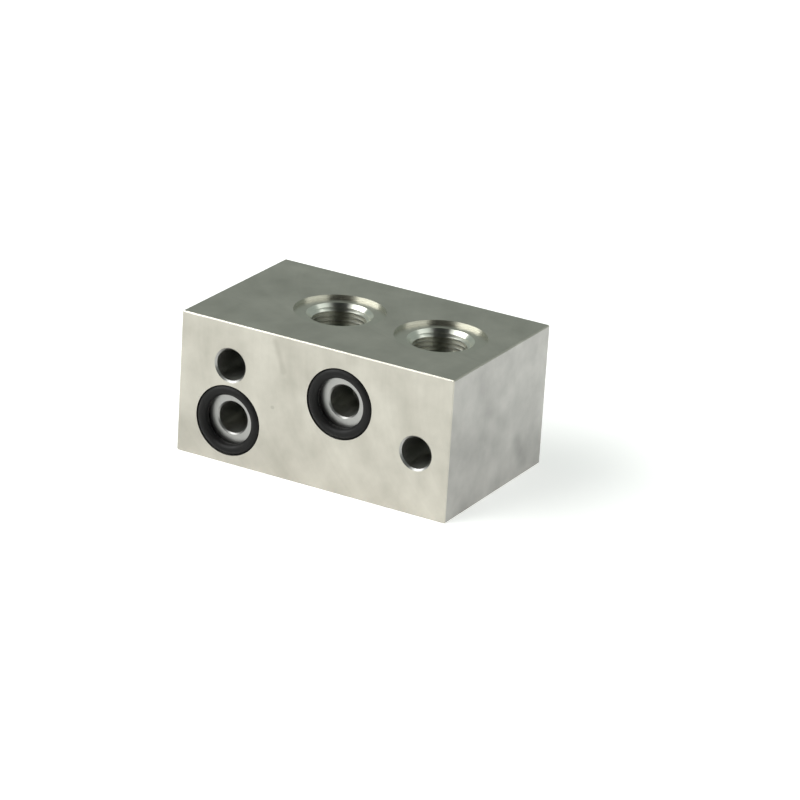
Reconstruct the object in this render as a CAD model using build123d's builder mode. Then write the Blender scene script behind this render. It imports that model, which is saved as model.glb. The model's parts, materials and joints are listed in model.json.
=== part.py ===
from build123d import *
from math import radians, tan
import os

# Port manifold block: one machined bar of metal that turns two face-sealed oil ports on its
# mounting face into two threaded pipe ports on its top.
# Frame: +X runs along the block, the mounting face looks along -Y and the threaded ports open
# upwards. The origin is the middle of the base. Lengths are millimetres, angles are degrees.

# ---------------------------------------------------------------- driving dimensions

# The bar, milled square on all six sides.
block_length = 85.0
block_depth = 54.0
block_height = 41.0
edge_break = 0.3

# Mounting face. Places are taken from the left end and down from the top, as on a drawing.
left_seat_from_end = 16.0
left_seat_drop = 28.4
right_seat_from_end = 50.6
right_seat_drop = 15.1
left_bolt_from_end = 16.0
left_bolt_drop = 12.3
right_bolt_from_end = 74.8
right_bolt_drop = 23.2

# Clearance holes for two M8 bolts, right through from the mounting face to the back.
bolt_hole_diameter = 9.0
bolt_mouth_chamfer = 0.5

# Face seals: a flat-bottomed seat with an O-ring that stands a little proud of the face.
seat_diameter = 20.3
seat_depth = 2.6
ring_cord_diameter = 3.0
ring_cord_sides = 24
ring_side_clearance = 0.05

# Oil ports, in the middle of the seats.
oil_bore_diameter = 9.0
oil_bore_depth = 12.0
oil_mouth_chamfer = 0.4

# Threaded ports, G 3/8: the bore is the tapping size, and depths are from the spot face.
left_port_from_end = 34.0
right_port_from_end = 65.8
ports_from_mounting_face = 27.0
tapped_bore_diameter = 15.0
tapped_bore_depth = 15.0
countersink_diameter = 18.6
spot_face_diameter = 25.8
spot_face_depth = 1.0

# Oil ways. A slanting drilling runs level from the mouth of each oil port to the axis of a
# threaded port. The right one breaks into the foot of that port, and the left one is lower and
# meets a drilling that comes down from its port.
slant_drill_diameter = 6.0
down_drill_diameter = 8.0
down_drill_overrun = 4.0
drill_point_angle = 118.0

# ---------------------------------------------------------------- places that follow from them

left_end = -block_length / 2
mounting_face = -block_depth / 2
seat_floor = mounting_face + seat_depth
spot_face = block_height - spot_face_depth
tapped_bore_end = spot_face - tapped_bore_depth
port_row = mounting_face + ports_from_mounting_face

left_seat = (left_end + left_seat_from_end, block_height - left_seat_drop)
right_seat = (left_end + right_seat_from_end, block_height - right_seat_drop)
left_bolt = (left_end + left_bolt_from_end, block_height - left_bolt_drop)
right_bolt = (left_end + right_bolt_from_end, block_height - right_bolt_drop)
left_port_x = left_end + left_port_from_end
right_port_x = left_end + right_port_from_end


def point_length(diameter):
    """Length of the cone that a twist drill leaves at the end of a blind hole."""
    return diameter / 2 / tan(radians(drill_point_angle / 2))


# ---------------------------------------------------------------- manifold block

with BuildPart() as manifold_block:
    Box(block_length, block_depth, block_height, align=(Align.CENTER, Align.CENTER, Align.MIN))
    chamfer(manifold_block.edges(), edge_break)

    # The bolt holes, broken at both mouths.
    for x, z in (left_bolt, right_bolt):
        with Locations(Plane(origin=(x, mounting_face, z), z_dir=(0, -1, 0))):
            Hole(bolt_hole_diameter / 2)
        mouths = manifold_block.edges(Select.LAST).filter_by(GeomType.CIRCLE)
        chamfer(mouths, bolt_mouth_chamfer)

    # An oil port is turned in one go: the seat, the broken mouth, the bore and its drill point.
    # Each half section is drawn level, through the port's axis.
    for x, z in (left_seat, right_seat):
        oil_bore_end = seat_floor + oil_bore_depth
        with BuildSketch(Plane.XY.offset(z)):
            with BuildLine():
                Polyline(
                    (x, mounting_face),
                    (x + seat_diameter / 2, mounting_face),
                    (x + seat_diameter / 2, seat_floor),
                    (x + oil_bore_diameter / 2 + oil_mouth_chamfer, seat_floor),
                    (x + oil_bore_diameter / 2, seat_floor + oil_mouth_chamfer),
                    (x + oil_bore_diameter / 2, oil_bore_end),
                    (x, oil_bore_end + point_length(oil_bore_diameter)),
                    close=True,
                )
            make_face()
        revolve(axis=Axis((x, 0, z), (0, 1, 0)), mode=Mode.SUBTRACT)

    # A threaded port is turned the same way, from its spot face down to its drill point. The
    # countersink has a 45 degree wall.
    for x in (left_port_x, right_port_x):
        countersink_end = spot_face - (countersink_diameter - tapped_bore_diameter) / 2
        with BuildSketch(Plane.XZ.offset(-port_row)):
            with BuildLine():
                Polyline(
                    (x, block_height),
                    (x + spot_face_diameter / 2, block_height),
                    (x + spot_face_diameter / 2, spot_face),
                    (x + countersink_diameter / 2, spot_face),
                    (x + tapped_bore_diameter / 2, countersink_end),
                    (x + tapped_bore_diameter / 2, tapped_bore_end),
                    (x, tapped_bore_end - point_length(tapped_bore_diameter)),
                    close=True,
                )
            make_face()
        revolve(axis=Axis((x, port_row, 0), (0, 0, 1)), mode=Mode.SUBTRACT)

    # The left port's drilling goes on down, a little past the level of the left oil port.
    down_drill_end = left_seat[1] - down_drill_overrun
    with BuildSketch(Plane.XZ.offset(-port_row)):
        with BuildLine():
            Polyline(
                (left_port_x, tapped_bore_end),
                (left_port_x + down_drill_diameter / 2, tapped_bore_end),
                (left_port_x + down_drill_diameter / 2, down_drill_end),
                (left_port_x, down_drill_end - point_length(down_drill_diameter)),
                close=True,
            )
        make_face()
    revolve(axis=Axis((left_port_x, port_row, 0), (0, 0, 1)), mode=Mode.SUBTRACT)

    # The slanting drillings start in the mouths of the oil ports, whose bores they leave round.
    for (x, z), port_x in ((left_seat, left_port_x), (right_seat, right_port_x)):
        mouth = Vector(x, seat_floor, z)
        run = Vector(port_x, port_row, z) - mouth
        with Locations(Plane(origin=mouth, z_dir=run)):
            Cylinder(
                slant_drill_diameter / 2,
                run.length,
                align=(Align.CENTER, Align.CENTER, Align.MIN),
                mode=Mode.SUBTRACT,
            )

manifold_block.part.label = "manifold_block"

# ---------------------------------------------------------------- O-rings

# Each ring fills its seat but for the side clearance, and lies on the seat's floor. Its round
# cord is drawn with many short sides, which keeps two small rings from outweighing the block.
ring_centre_radius = seat_diameter / 2 - ring_side_clearance - ring_cord_diameter / 2
ring_centre_y = seat_floor - ring_cord_diameter / 2


def o_ring(seat):
    x, z = seat
    with BuildPart() as ring:
        with BuildSketch(Plane.XY.offset(z)):
            with Locations((x + ring_centre_radius, ring_centre_y)):
                RegularPolygon(ring_cord_diameter / 2, ring_cord_sides)
        revolve(axis=Axis((x, 0, z), (0, 1, 0)))
    return ring.part


left_o_ring = o_ring(left_seat)
left_o_ring.label = "left_o_ring"
right_o_ring = o_ring(right_seat)
right_o_ring.label = "right_o_ring"

# ---------------------------------------------------------------- output

os.makedirs("parts", exist_ok=True)
for piece in (manifold_block.part, left_o_ring, right_o_ring):
    export_step(piece, f"parts/{piece.label}.step")
    print(piece.label, "volume", round(piece.volume, 1), "mm3")
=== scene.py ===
# %% [markdown]
# # A hydraulic port block
# A small block of bare aluminium turns two oil ports on its front face into two threaded ports
# on its top. It comes from a bar that is milled square on all six sides, then drilled, bored and
# tapped. The solids of the block and of its two O-rings come from the CAD model, in metres. What
# is added here is what CAD leaves out: the threads, the moulded look of the rings, the marks of
# the cutters, and the light.

# %% Load the frame
import json
from math import cos, pi, radians, sin, tan

import bpy
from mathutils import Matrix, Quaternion, Vector

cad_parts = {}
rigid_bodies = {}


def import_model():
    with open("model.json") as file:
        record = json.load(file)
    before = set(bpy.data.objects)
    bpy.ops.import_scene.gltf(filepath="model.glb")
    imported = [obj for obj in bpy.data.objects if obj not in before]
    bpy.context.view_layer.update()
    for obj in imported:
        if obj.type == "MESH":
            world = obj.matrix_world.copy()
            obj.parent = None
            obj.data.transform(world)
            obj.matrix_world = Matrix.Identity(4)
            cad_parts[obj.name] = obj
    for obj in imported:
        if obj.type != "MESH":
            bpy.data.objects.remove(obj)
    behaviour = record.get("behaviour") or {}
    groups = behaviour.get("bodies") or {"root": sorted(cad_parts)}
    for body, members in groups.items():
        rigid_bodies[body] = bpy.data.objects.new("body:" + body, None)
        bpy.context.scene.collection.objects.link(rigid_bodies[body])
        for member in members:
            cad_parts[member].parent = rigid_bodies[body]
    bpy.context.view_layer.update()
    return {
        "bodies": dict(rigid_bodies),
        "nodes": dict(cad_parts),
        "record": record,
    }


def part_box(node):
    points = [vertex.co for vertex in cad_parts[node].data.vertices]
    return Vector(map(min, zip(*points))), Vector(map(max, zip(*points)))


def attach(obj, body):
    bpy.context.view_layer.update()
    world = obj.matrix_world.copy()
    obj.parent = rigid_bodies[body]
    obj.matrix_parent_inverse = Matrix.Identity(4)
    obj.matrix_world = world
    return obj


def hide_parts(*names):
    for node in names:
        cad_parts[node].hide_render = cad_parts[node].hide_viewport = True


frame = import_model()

body = list(frame["bodies"])[0]
mounts = {mount["name"]: mount for mount in frame["record"]["mounts"]}
print("body", body, "and nodes", sorted(frame["nodes"]))

# %% [markdown]
# ## Places that the CAD model gives
# The ports and holes are mounts in the record, so their axes are read from it. The depths of the
# spot faces and seats are written again as lengths in metres, as a fitter would read them off
# the drawing.

# %% Places and sizes
mm = 0.001
block_low, block_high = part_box("manifold_block")
block_top = block_high.z
mounting_face = block_low.y
spot_face = block_top - 1.0 * mm
spot_face_radius = 12.9 * mm
seat_floor = mounting_face + 2.6 * mm
port_names = ("left_threaded_port", "right_threaded_port")
threaded_ports = [mounts[name]["pos_m"][0] for name in port_names]
port_row = mounts[port_names[0]]["pos_m"][1]
bore_radius = mounts[port_names[0]]["dims"]["r_mm"] * mm
print("threaded ports at x", threaded_ports, "bore radius", bore_radius)

# %% [markdown]
# ## The block, ready for its threads
# A CAD node's mesh is loose triangles and is never changed. To cut threads into the block, a copy
# is taken, and its triangles are sewn together into one closed skin, because a Boolean needs to
# know inside from outside.

# %% Copy the block and sew it up
def only(obj):
    """Makes obj the one selected and active object."""
    bpy.ops.object.select_all(action="DESELECT")
    obj.select_set(True)
    bpy.context.view_layer.objects.active = obj


block = bpy.data.objects.new("threaded_block", frame["nodes"]["manifold_block"].data.copy())
bpy.context.scene.collection.objects.link(block)
only(block)
bpy.ops.mesh.customdata_custom_splitnormals_clear()
bpy.ops.object.mode_set(mode="EDIT")
bpy.ops.mesh.select_all(action="SELECT")
bpy.ops.mesh.remove_doubles(threshold=0.001 * mm)
bpy.ops.object.mode_set(mode="OBJECT")
print("block:", len(block.data.vertices), "vertices,", len(block.data.polygons), "faces")

# %% [markdown]
# ## A tap for the pipe thread
# The top ports have a G 3/8 parallel pipe thread: 55 degrees between the flanks, 19 turns to the
# inch, 16.66 mm over the thread. A bump map would look flat at the mouth, where the light
# catches the first turns, so the thread is really cut. The tap is the groove's own section, a
# small plate turned into a helix by the Screw modifier. It starts above the countersink, so the
# thread fades in on the slope as a cut one does.

# %% Cut section of the groove
pitch = 25.4 / 19 * mm
thread_radius = 16.66 / 2 * mm
groove_root = 0.22 * mm
tap_inner_radius = bore_radius - 0.15 * mm
groove_depth = thread_radius - tap_inner_radius
groove_mouth = groove_root + 2 * groove_depth * tan(radians(55 / 2))
tap_start = spot_face - 0.2 * mm
tap_turns = 9
steps_per_turn = 64
print("groove mouth", round(groove_mouth / mm, 3), "mm of a pitch of", round(pitch / mm, 3), "mm")


def select_vertices(obj, wanted):
    """In edit mode, selects the vertices whose place passes the test."""
    bpy.ops.mesh.select_all(action="DESELECT")
    bpy.ops.object.mode_set(mode="OBJECT")
    for vertex in obj.data.vertices:
        vertex.select = wanted(vertex.co)
    bpy.ops.object.mode_set(mode="EDIT")


def make_tap(port_x):
    """A closed helix with the thread's groove as its section, standing on the port's axis."""
    bpy.ops.object.select_all(action="DESELECT")
    foot = (port_x, port_row, tap_start - tap_turns * pitch)
    bpy.ops.mesh.primitive_plane_add(size=1.0, location=foot, rotation=(pi / 2, 0, 0))
    tap = bpy.context.object
    bpy.ops.object.transform_apply(location=False, rotation=True, scale=True)
    bpy.ops.object.mode_set(mode="EDIT")
    bpy.ops.mesh.select_all(action="SELECT")
    bpy.ops.transform.resize(value=(groove_depth, 1, groove_mouth), center_override=foot)
    bpy.ops.transform.translate(value=(tap_inner_radius + groove_depth / 2, 0, 0))
    select_vertices(tap, lambda co: co.x > thread_radius - groove_depth / 2)
    bpy.ops.transform.resize(value=(1, 1, groove_root / groove_mouth), center_override=foot)
    bpy.ops.object.mode_set(mode="OBJECT")
    screw = tap.modifiers.new("Helix", "SCREW")
    screw.screw_offset = pitch
    screw.iterations = tap_turns
    screw.steps = steps_per_turn
    screw.render_steps = steps_per_turn
    bpy.ops.object.modifier_apply(modifier=screw.name)
    bpy.ops.object.mode_set(mode="EDIT")
    bpy.ops.mesh.select_all(action="SELECT")
    bpy.ops.mesh.fill_holes(sides=4)
    bpy.ops.mesh.normals_make_consistent(inside=False)
    bpy.ops.object.mode_set(mode="OBJECT")
    return tap


# %% Tap both ports
def cut(target, tool):
    """Takes the tool's shape out of the target, and the tool away."""
    only(target)
    boolean = target.modifiers.new("Cut", "BOOLEAN")
    boolean.operation = "DIFFERENCE"
    boolean.solver = "EXACT"
    boolean.object = tool
    bpy.ops.object.modifier_apply(modifier=boolean.name)
    bpy.data.objects.remove(tool)


for port_x in threaded_ports:
    cut(block, make_tap(port_x))
    print("tapped the port at x", port_x, "-", len(block.data.polygons), "faces")
only(block)
bpy.ops.object.shade_smooth_by_angle(angle=radians(30))

# %% [markdown]
# ## The O-rings
# An O-ring is moulded in two halves. Where they meet, a fine flash line runs round its outside
# and inside. The CAD rings have a cord with 24 flat sides, so each is replaced by a round one:
# a torus, whose widest and narrowest loops of edges are pushed out a little for the flash.

# %% Make one ring and copy it
cord_radius = 1.5 * mm
flash = 0.03 * mm


def make_ring(name, node):
    """A moulded ring that fills the place of its CAD node."""
    low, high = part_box(node)
    centre = Vector(((low.x + high.x) / 2, high.y - cord_radius, (low.z + high.z) / 2))
    ring_radius = (high.x - low.x) / 2 - cord_radius
    bpy.ops.object.select_all(action="DESELECT")
    bpy.ops.mesh.primitive_torus_add(
        location=centre,
        rotation=(pi / 2, 0, 0),
        major_radius=ring_radius,
        minor_radius=cord_radius,
        major_segments=144,
        minor_segments=48,
    )
    ring = bpy.context.object
    ring.name = name
    bpy.ops.object.transform_apply()
    bpy.ops.object.mode_set(mode="EDIT")
    for side in (1, -1):
        edge = ring_radius + side * cord_radius
        select_vertices(
            ring,
            lambda co: abs(co.y - centre.y) < 0.01 * mm
            and ((co.xz - centre.xz).length - ring_radius) * side > 0,
        )
        grow = (edge + side * flash) / edge
        bpy.ops.transform.resize(value=(grow, 1, grow), center_override=centre)
    bpy.ops.object.mode_set(mode="OBJECT")
    bpy.ops.object.shade_smooth_by_angle(angle=radians(60))
    print(name, "across", round((high.x - low.x) / mm, 2), "mm")
    return ring


left_ring = make_ring("left_moulded_ring", "left_o_ring")
right_ring = make_ring("right_moulded_ring", "right_o_ring")

# %% [markdown]
# ## Finishes
# The whole block is one bare metal, but each cutter leaves its own marks, and the marks decide how the metal
# takes the light. So there are three kinds of finish: faces cut by a face mill, walls cut by drills and
# boring tools, and turned faces at the foot of a spot face or a seat. Painted shade is added on top: the
# ends, the walls of the front holes and the seats are given darker colours than the rest.

# %% Two small helpers for materials
def linear(code):
    """A colour such as #C0C0BC as linear red, green, blue and alpha."""
    values = [int(code[i:i + 2], 16) / 255 for i in (1, 3, 5)]
    return [v / 12.92 if v <= 0.04045 else ((v + 0.055) / 1.055) ** 2.4 for v in values] + [1.0]


def add(tree, kind, settings=None, **links):
    """Adds a node. Settings are its properties. A link is a socket or a plain value, for the
    input that it names: i0 is the first input, and Base_Color the one called Base Color."""
    node = tree.nodes.new(kind)
    for key, value in (settings or {}).items():
        setattr(node, key, value)
    for key, value in links.items():
        by_number = key[0] == "i" and key[1:].isdigit()
        target = node.inputs[int(key[1:]) if by_number else key.replace("_", " ")]
        if isinstance(value, bpy.types.NodeSocket):
            tree.links.new(value, target)
        else:
            target.default_value = value
    return node


def new_material(name):
    """An empty node material, with its tree."""
    material = bpy.data.materials.new(name)
    material.use_nodes = True
    material.node_tree.nodes.clear()
    return material, material.node_tree


# %% [markdown]
# ### Face-milled aluminium
# A face mill with one sharp tooth sweeps over the surface in wide arcs, a fraction of a millimetre apart.
# Each pass leaves a fine groove, some deeper than others. Handling adds large, soft patches and a few
# smudges, and a small dark spot is painted in as the shade of a dent. The ends are painted darker and cooler
# than the long sides, as painted shade. The arcs are worked out from the place on the block: a point is on
# the arc whose number is its place along the feed, less the arc's sagitta, over the feed.

# %% Face-milled aluminium
# Marks from handling, placed to the millimetre: a dark spot between the seats, painted as the shade of a
# dent, a smudge above it that starts near the upper edge, and two soft patches on the right end.
seats = [Vector(mounts[name]["pos_m"]) for name in ("left_oil_port", "right_oil_port")]
# The dent is no dip in the surface, only a dark spot in the colour: painted shade.
dent_shade_spot = seats[0].lerp(seats[1], 0.4) + Vector((0, 0, 2 * mm))
dent_shade_spot.y = mounting_face
smudge_head = Vector((dent_shade_spot.x, mounting_face, block_top - 2 * mm))
smudge_foot = smudge_head + Vector((3 * mm, 0, -8 * mm))


def on_right_end(y, z):
    """A place on the right end, from its middle."""
    return Vector((block_high.x, y, block_top / 2 + z))


# Each mark runs from one place to another, spreads so far, and is so dark in its middle.
handling_marks_and_dent_shade = [
    (dent_shade_spot, dent_shade_spot + Vector((0.2 * mm, 0, 0)), 0.6 * mm, 2.5),
    (smudge_head, smudge_foot, 1.5 * mm, 0.45),
    (on_right_end(-6 * mm, 6 * mm), on_right_end(5 * mm, -2 * mm), 4 * mm, 0.35),
    (on_right_end(12 * mm, -9 * mm), on_right_end(16 * mm, -16 * mm), 4 * mm, 0.35),
]


def milled_metal():
    material, tree = new_material("face_milled_aluminium")
    place = add(tree, "ShaderNodeTexCoord").outputs["Object"]
    facing = add(tree, "ShaderNodeTexCoord").outputs["Normal"]
    sizes = add(tree, "ShaderNodeVectorMath", {"operation": "ABSOLUTE"}, i0=facing)
    side = add(tree, "ShaderNodeSeparateXYZ", i0=sizes.outputs[0])
    at = add(tree, "ShaderNodeSeparateXYZ", i0=place)
    on_end = add(tree, "ShaderNodeMath", {"operation": "GREATER_THAN"}, i0=side.outputs[0], i1=0.9)
    on_top = add(tree, "ShaderNodeMath", {"operation": "GREATER_THAN"}, i0=side.outputs[2], i1=0.9)
    along = add(tree, "ShaderNodeMix", i0=on_end.outputs[0], i2=at.outputs[0], i3=at.outputs[1])
    across = add(tree, "ShaderNodeMix", i0=on_top.outputs[0], i2=at.outputs[2], i3=at.outputs[1])

    # The cutter's centre runs near the block's upper edge.
    cutter_radius = 50 * mm
    cutter_height = 38 * mm
    feed = 0.9 * mm  # really about 0.2 mm, which is too fine to show
    offset = add(tree, "ShaderNodeMath", {"operation": "SUBTRACT"}, i0=across.outputs[0],
                 i1=cutter_height)
    square = add(tree, "ShaderNodeMath", {"operation": "MULTIPLY"}, i0=offset.outputs[0],
                 i1=offset.outputs[0])
    rest = add(tree, "ShaderNodeMath", {"operation": "SUBTRACT"}, i0=cutter_radius ** 2, i1=square.outputs[0])
    reach = add(tree, "ShaderNodeMath", {"operation": "SQRT"}, i0=rest.outputs[0])
    bend = add(tree, "ShaderNodeMapRange", Value=on_end.outputs[0], To_Min=1.0, To_Max=0.15)
    arc = add(tree, "ShaderNodeMath", {"operation": "MULTIPLY_ADD"}, i0=reach.outputs[0], i1=bend.outputs[0],
              i2=along.outputs[0])
    number = add(tree, "ShaderNodeMath", {"operation": "DIVIDE"}, i0=arc.outputs[0], i1=feed)
    grooves = add(tree, "ShaderNodeTexNoise", {"noise_dimensions": "1D"}, W=number.outputs[0],
                  Scale=1.0, Detail=3.0, Roughness=0.6)
    bands = add(tree, "ShaderNodeTexNoise", {"noise_dimensions": "1D"}, W=number.outputs[0],
                Scale=0.12, Detail=2.0, Roughness=0.5)
    patches = add(tree, "ShaderNodeTexNoise", Vector=place, Scale=75.0, Detail=4.0, Roughness=0.55)
    wiped = add(tree, "ShaderNodeMapping", Vector=place, Scale=(260.0, 260.0, 45.0),
                Rotation=(0.1, 0.15, 0.0))
    smears = add(tree, "ShaderNodeTexNoise", Vector=wiped.outputs[0], Scale=1.0, Detail=3.0, Roughness=0.6)
    grain = add(tree, "ShaderNodeTexNoise", Vector=place, Scale=2500.0, Detail=2.0)

    wide = add(tree, "ShaderNodeMath", {"operation": "MULTIPLY"}, i0=bands.outputs[0], i1=0.6)
    cut = add(tree, "ShaderNodeMath", {"operation": "MULTIPLY_ADD"}, i0=grooves.outputs[0], i1=0.15,
              i2=wide.outputs[0])
    hand = add(tree, "ShaderNodeMath", {"operation": "MULTIPLY_ADD"}, i0=smears.outputs[0], i1=0.4,
               i2=cut.outputs[0])
    # The ends show hardly any marks of a cutter.
    calm = add(tree, "ShaderNodeMapRange", Value=on_end.outputs[0], To_Min=0.0, To_Max=0.75)
    marks = add(tree, "ShaderNodeMix", i0=calm.outputs[0], i2=hand.outputs[0], i3=0.575)
    tone = add(tree, "ShaderNodeMath", {"operation": "MULTIPLY_ADD"}, i0=patches.outputs[0], i1=2.4,
               i2=marks.outputs[0])
    level = add(tree, "ShaderNodeMapRange", Value=tone.outputs[0], From_Min=1.2, From_Max=2.35)
    for foot, head, reach_out, depth in handling_marks_and_dent_shade:
        line = head - foot
        start = add(tree, "ShaderNodeVectorMath", {"operation": "SUBTRACT"}, i0=place, i1=foot)
        far = add(tree, "ShaderNodeVectorMath", {"operation": "DOT_PRODUCT"}, i0=start.outputs[0],
                  i1=line / line.length_squared)
        held = add(tree, "ShaderNodeClamp", Value=far.outputs["Value"])
        back = add(tree, "ShaderNodeVectorMath", {"operation": "SCALE"}, i0=line, Scale=held.outputs[0])
        away = add(tree, "ShaderNodeVectorMath", {"operation": "DISTANCE"}, i0=start.outputs[0],
                   i1=back.outputs[0])
        mark = add(tree, "ShaderNodeMapRange", {"interpolation_type": "SMOOTHSTEP"},
                   Value=away.outputs["Value"], From_Min=0.0, From_Max=reach_out, To_Min=depth, To_Max=0.0)
        level = add(tree, "ShaderNodeMath", {"operation": "SUBTRACT"}, i0=level.outputs[0],
                    i1=mark.outputs[0])
    long_side = add(tree, "ShaderNodeMix", {"data_type": "RGBA"}, i0=level.outputs[0],
                    i6=linear("#ADA99F"), i7=linear("#C8C4BA"))
    # The ends take a darker, cooler colour than the long sides: painted shade, for the dimmer surroundings on
    # that side.
    end_side_painted_shade = add(tree, "ShaderNodeMix", {"data_type": "RGBA"}, i0=level.outputs[0],
                   i6=linear("#999794"), i7=linear("#BFBDB9"))
    colour = add(tree, "ShaderNodeMix", {"data_type": "RGBA"}, i0=on_end.outputs[0],
                 i6=long_side.outputs[2], i7=end_side_painted_shade.outputs[2])
    rough = add(tree, "ShaderNodeMapRange", Value=patches.outputs[0], From_Min=0.3, From_Max=0.7,
                To_Min=0.37, To_Max=0.43)
    height = add(tree, "ShaderNodeMath", {"operation": "MULTIPLY_ADD"}, i0=grain.outputs[0], i1=0.3,
                 i2=grooves.outputs[0])
    bump = add(tree, "ShaderNodeBump", Strength=0.08, Distance=0.05 * mm, Height=height.outputs[0])
    shader = add(tree, "ShaderNodeBsdfPrincipled", Base_Color=colour.outputs[2], Metallic=1.0,
                 Roughness=rough.outputs[0], Normal=bump.outputs[0])
    add(tree, "ShaderNodeOutputMaterial", Surface=shader.outputs[0])
    return material


# %% [markdown]
# ### Bored aluminium
# A drill, a boring tool or a tap goes round and round, so its marks are rings. They spread the
# light along the hole and hardly at all round it: that is what gives a bore its bright and dark
# stripes. The shader's anisotropy does this, with the hole's axis as its tangent.

# %% Bored aluminium
def bored_metal(name, axis, code, roughness):
    material, tree = new_material(name)
    place = add(tree, "ShaderNodeTexCoord").outputs["Object"]
    rings = add(tree, "ShaderNodeMapping", Vector=place,
                Scale=[4000.0 if v else 150.0 for v in axis])
    marks = add(tree, "ShaderNodeTexNoise", Vector=rings.outputs[0], Scale=1.0, Detail=3.0)
    dark, light = linear(code), [min(1.0, 1.25 * v) for v in linear(code)]
    colour = add(tree, "ShaderNodeMix", {"data_type": "RGBA"}, i0=marks.outputs[0], i6=dark, i7=light)
    bump = add(tree, "ShaderNodeBump", Strength=0.15, Distance=0.02 * mm, Height=marks.outputs[0])
    tangent = add(tree, "ShaderNodeCombineXYZ", i0=float(axis[0]), i1=float(axis[1]), i2=float(axis[2]))
    shader = add(tree, "ShaderNodeBsdfPrincipled", Base_Color=colour.outputs[2], Metallic=1.0,
                 Roughness=roughness, Anisotropic=0.8, Normal=bump.outputs[0], Tangent=tangent.outputs[0])
    add(tree, "ShaderNodeOutputMaterial", Surface=shader.outputs[0])
    return material


# %% [markdown]
# ### Turned aluminium
# The foot of a spot face or a seat is cut by the end of the tool, and left finer than the rest, because a
# seal sits on it. The seats are given a darker colour than the spot faces: painted shade, and a painted
# reflection of the rubber, as they lie deeper with black rubber all round them.

# %% Turned aluminium
def turned_metal(name, dark, light, roughness):
    material, tree = new_material(name)
    place = add(tree, "ShaderNodeTexCoord").outputs["Object"]
    haze = add(tree, "ShaderNodeTexNoise", Vector=place, Scale=500.0, Detail=3.0)
    colour = add(tree, "ShaderNodeMix", {"data_type": "RGBA"}, i0=haze.outputs[0],
                 i6=linear(dark), i7=linear(light))
    rough = add(tree, "ShaderNodeMapRange", Value=haze.outputs[0], To_Min=roughness, To_Max=roughness + 0.08)
    shader = add(tree, "ShaderNodeBsdfPrincipled", Base_Color=colour.outputs[2], Metallic=1.0,
                 Roughness=rough.outputs[0])
    add(tree, "ShaderNodeOutputMaterial", Surface=shader.outputs[0])
    return material


# %% [markdown]
# ### Nitrile rubber
# The rings are black nitrile. It is moulded, with a satin skin that carries a trace of oil, so
# it is near black with a soft, weak sheen.

# %% Nitrile rubber
def nitrile():
    material, tree = new_material("black_nitrile_rubber")
    place = add(tree, "ShaderNodeTexCoord").outputs["Object"]
    film = add(tree, "ShaderNodeTexNoise", Vector=place, Scale=400.0, Detail=3.0)
    grain = add(tree, "ShaderNodeTexNoise", Vector=place, Scale=6000.0, Detail=2.0)
    colour = add(tree, "ShaderNodeMix", {"data_type": "RGBA"}, i0=film.outputs[0],
                 i6=linear("#0E0D0E"), i7=linear("#181716"))
    rough = add(tree, "ShaderNodeMapRange", Value=film.outputs[0], From_Min=0.3, From_Max=0.7,
                To_Min=0.42, To_Max=0.58)
    bump = add(tree, "ShaderNodeBump", Strength=0.1, Distance=0.02 * mm, Height=grain.outputs[0])
    shader = add(tree, "ShaderNodeBsdfPrincipled", Base_Color=colour.outputs[2], IOR=1.5,
                 Specular_IOR_Level=0.2, Roughness=rough.outputs[0], Normal=bump.outputs[0])
    add(tree, "ShaderNodeOutputMaterial", Surface=shader.outputs[0])
    return material


# %% Give each face of the block the metal of its cutter, some with painted shade
finishes = {
    "milled": milled_metal(),
    "port wall": bored_metal("bored_aluminium_top_ports", (0, 0, 1), "#C4C4BB", 0.28),
    # The walls of the front holes get a much darker colour than the port walls: painted shade, for their
    # depth.
    "hole wall": bored_metal("bored_aluminium_front_holes_painted_shade", (0, 1, 0), "#8C8C86", 0.35),
    "spot face": turned_metal("turned_aluminium_spot_faces", "#AEABA0", "#BDBAAF", 0.28),
    # The seats get a darker colour than the spot faces: painted shade and painted reflection of the black
    # rubber round them.
    "seat": turned_metal("turned_aluminium_seats_painted_shade", "#9A9A98", "#ABAAA7", 0.3),
}
block.data.materials.clear()
for material in finishes.values():
    block.data.materials.append(material)
skin = 0.4 * mm
hair = 0.01 * mm
port_depth = 20 * mm


def distance_from_axis(co):
    """How far a point is from the nearer threaded port's axis."""
    return min(((co.x - port_x) ** 2 + (co.y - port_row) ** 2) ** 0.5 for port_x in threaded_ports)


def finish_of(face):
    """Which finish a face has, by its place and slope. Broken mouths are turned, as seats are."""
    co = face.center
    near_port = distance_from_axis(co) < spot_face_radius + 0.1 * mm
    in_port = near_port and co.z > spot_face - port_depth
    from_long_side = min(co.y - block_low.y, block_high.y - co.y)
    from_others = min(co.x - block_low.x, block_high.x - co.x, co.z - block_low.z, block_high.z - co.z)
    sloping = 0.5 < abs(face.normal.y) < 0.9
    mouth = sloping and min(abs(co.y - seat_floor), from_long_side) < 0.5 * mm
    if abs(co.y - seat_floor) < hair or (mouth and from_others >= skin):
        return "seat"
    if abs(co.z - spot_face) < hair:
        return "spot face"
    if min(from_long_side, from_others) < skin and not (in_port and co.z < block_top - hair):
        return "milled"
    return "port wall" if in_port else "hole wall"


names = list(finishes)
counts = dict.fromkeys(names, 0)
for face in block.data.polygons:
    name = finish_of(face)
    face.material_index = names.index(name)
    counts[name] += 1
print("faces of each finish:", counts)

rubber = nitrile()
for ring in (left_ring, right_ring):
    ring.data.materials.clear()
    ring.data.materials.append(rubber)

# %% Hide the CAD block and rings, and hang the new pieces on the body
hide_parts("manifold_block")
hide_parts("left_o_ring")
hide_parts("right_o_ring")
for piece in (block, left_ring, right_ring):
    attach(piece, body)

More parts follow.
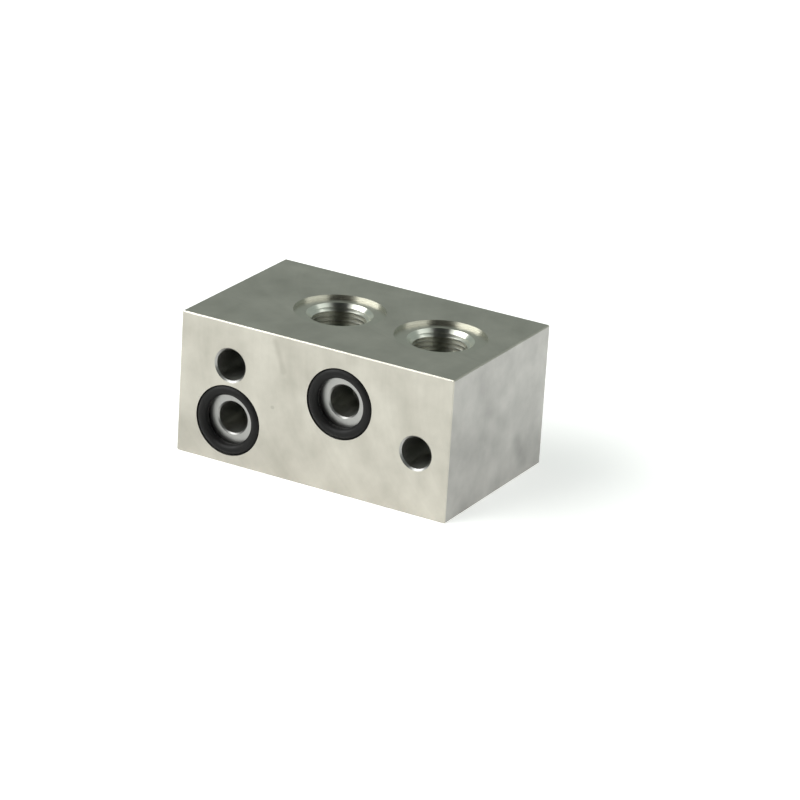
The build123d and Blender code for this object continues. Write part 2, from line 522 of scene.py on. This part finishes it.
# %% [markdown]
# ## Floor, light and camera
# Bare metal shows what stands round it, so the studio is part of the finish. A wide pale floor
# gives the front its even tone. The room above is dim, which keeps the top dark. Two large soft
# boxes, left of the camera and to the right, put the bright stripes into the ports, and a black
# cloth between them the dark ones.

# %% The floor
bpy.ops.object.select_all(action="DESELECT")
bpy.ops.mesh.primitive_plane_add(size=12.0, location=(0, 0, block_low.z))
floor = bpy.context.object
floor.name = "studio_floor"
floor_paint, floor_tree = new_material("matt_white_paper")
paper = add(floor_tree, "ShaderNodeBsdfDiffuse", Color=linear("#F6F6F4"))
# A little light of its own, only where the paper is seen straight or in metal, makes it white
# with no more light on the block.
paper_glow = 0.4
seen = add(floor_tree, "ShaderNodeLightPath")
straight = add(floor_tree, "ShaderNodeMath", {"operation": "MAXIMUM"},
               i0=seen.outputs["Is Camera Ray"], i1=seen.outputs["Is Glossy Ray"])
either = add(floor_tree, "ShaderNodeMath", {"operation": "MAXIMUM"}, i0=straight.outputs[0],
             i1=seen.outputs["Is Transmission Ray"])
lift = add(floor_tree, "ShaderNodeMath", {"operation": "MULTIPLY"}, i0=either.outputs[0],
           i1=paper_glow)
glow = add(floor_tree, "ShaderNodeEmission", Strength=lift.outputs[0])
sheet = add(floor_tree, "ShaderNodeAddShader", i0=paper.outputs[0], i1=glow.outputs[0])
add(floor_tree, "ShaderNodeOutputMaterial", Surface=sheet.outputs[0])
floor.data.materials.append(floor_paint)

# %% The room
# It is dim and even up to 30 degrees above the floor. Above 60 degrees it is lit at both sides,
# and nearly black in a strip over the camera's line, which carries on the cloth's dark stripe.
camera_azimuth = 28.53
camera_elevation = 21.36
low_room = 0.46
dark_strip = 0.02
lit_sides = 0.8


def direction(azimuth, elevation):
    """Unit vector from the block. Azimuth 0 is the front, and 90 is the right end."""
    a, e = radians(azimuth), radians(elevation)
    return Vector((sin(a) * cos(e), -cos(a) * cos(e), sin(e)))


world = bpy.data.worlds.new("dim_room")
bpy.context.scene.world = world
world.use_nodes = True
room = world.node_tree.nodes["Background"]
room.inputs["Color"].default_value = (0.88, 1.0, 0.935, 1.0)
way_out = add(world.node_tree, "ShaderNodeTexCoord").outputs["Generated"]
up = add(world.node_tree, "ShaderNodeSeparateXYZ", i0=way_out)
high = add(world.node_tree, "ShaderNodeMapRange", {"interpolation_type": "SMOOTHSTEP"},
           Value=up.outputs[2], From_Min=sin(radians(30)), From_Max=sin(radians(60)))
beside = add(world.node_tree, "ShaderNodeVectorMath", {"operation": "DOT_PRODUCT"}, i0=way_out,
             i1=direction(camera_azimuth + 90, 0))
to_side = add(world.node_tree, "ShaderNodeMath", {"operation": "ABSOLUTE"}, i0=beside.outputs["Value"])
ceiling = add(world.node_tree, "ShaderNodeMapRange", {"interpolation_type": "SMOOTHSTEP"},
              Value=to_side.outputs[0], From_Min=0.34, From_Max=0.48, To_Min=dark_strip,
              To_Max=lit_sides)
strength = add(world.node_tree, "ShaderNodeMix", i0=high.outputs[0], i2=low_room,
               i3=ceiling.outputs[0])
world.node_tree.links.new(strength.outputs[0], room.inputs["Strength"])


# %% The soft boxes
def soft_box(name, azimuth, elevation, distance, width, height, power):
    """A rectangular lamp that faces the block's middle."""
    way = direction(azimuth, elevation)
    bpy.ops.object.light_add(type="AREA", location=Vector((0, 0, 0.02)) + way * distance)
    lamp = bpy.context.object
    lamp.name = name
    lamp.rotation_mode = "QUATERNION"
    lamp.rotation_quaternion = way.to_track_quat("Z", "Y")
    lamp.data.shape = "RECTANGLE"
    lamp.data.size = width
    lamp.data.size_y = height
    lamp.data.energy = power


soft_box("key_box", azimuth=-47, elevation=37, distance=1.5, width=1.75, height=1.0, power=25)
soft_box("fill_box", azimuth=94, elevation=32, distance=2.4, width=2.6, height=1.6, power=21)

# A black cloth hangs behind the camera, and the metal that faces it turns dark.
way = direction(camera_azimuth, 15)
cloth_distance = 2.2
bpy.ops.mesh.primitive_plane_add(size=1.0, location=way * cloth_distance)
cloth = bpy.context.object
cloth.name = "black_cloth"
cloth.scale = (2.3, 2.4, 1.0)
cloth.rotation_mode = "QUATERNION"
cloth.rotation_quaternion = way.to_track_quat("Z", "Y")
cloth_dye, cloth_tree = new_material("black_velvet")
velvet = add(cloth_tree, "ShaderNodeBsdfDiffuse", Color=linear("#0A0A0A"))
add(cloth_tree, "ShaderNodeOutputMaterial", Surface=velvet.outputs[0])
cloth.data.materials.append(cloth_dye)
cloth.visible_camera = False

# %% The camera
camera_data = bpy.data.cameras.new("camera")
camera_data.lens = 179.8
camera_data.sensor_width = 36.0
camera_data.clip_start = 0.01
camera = bpy.data.objects.new("camera", camera_data)
bpy.context.scene.collection.objects.link(camera)
aim = Vector((9.7, 4.1, 17.88)) * mm
camera_distance = 1.0995
camera_roll = 3.63
way = direction(camera_azimuth, camera_elevation)
camera.location = aim + way * camera_distance
camera.rotation_mode = "QUATERNION"
roll = Quaternion((0, 0, 1), radians(camera_roll))
camera.rotation_quaternion = way.to_track_quat("Z", "Y") @ roll
bpy.context.scene.camera = camera
bpy.context.scene.view_settings.view_transform = "Standard"
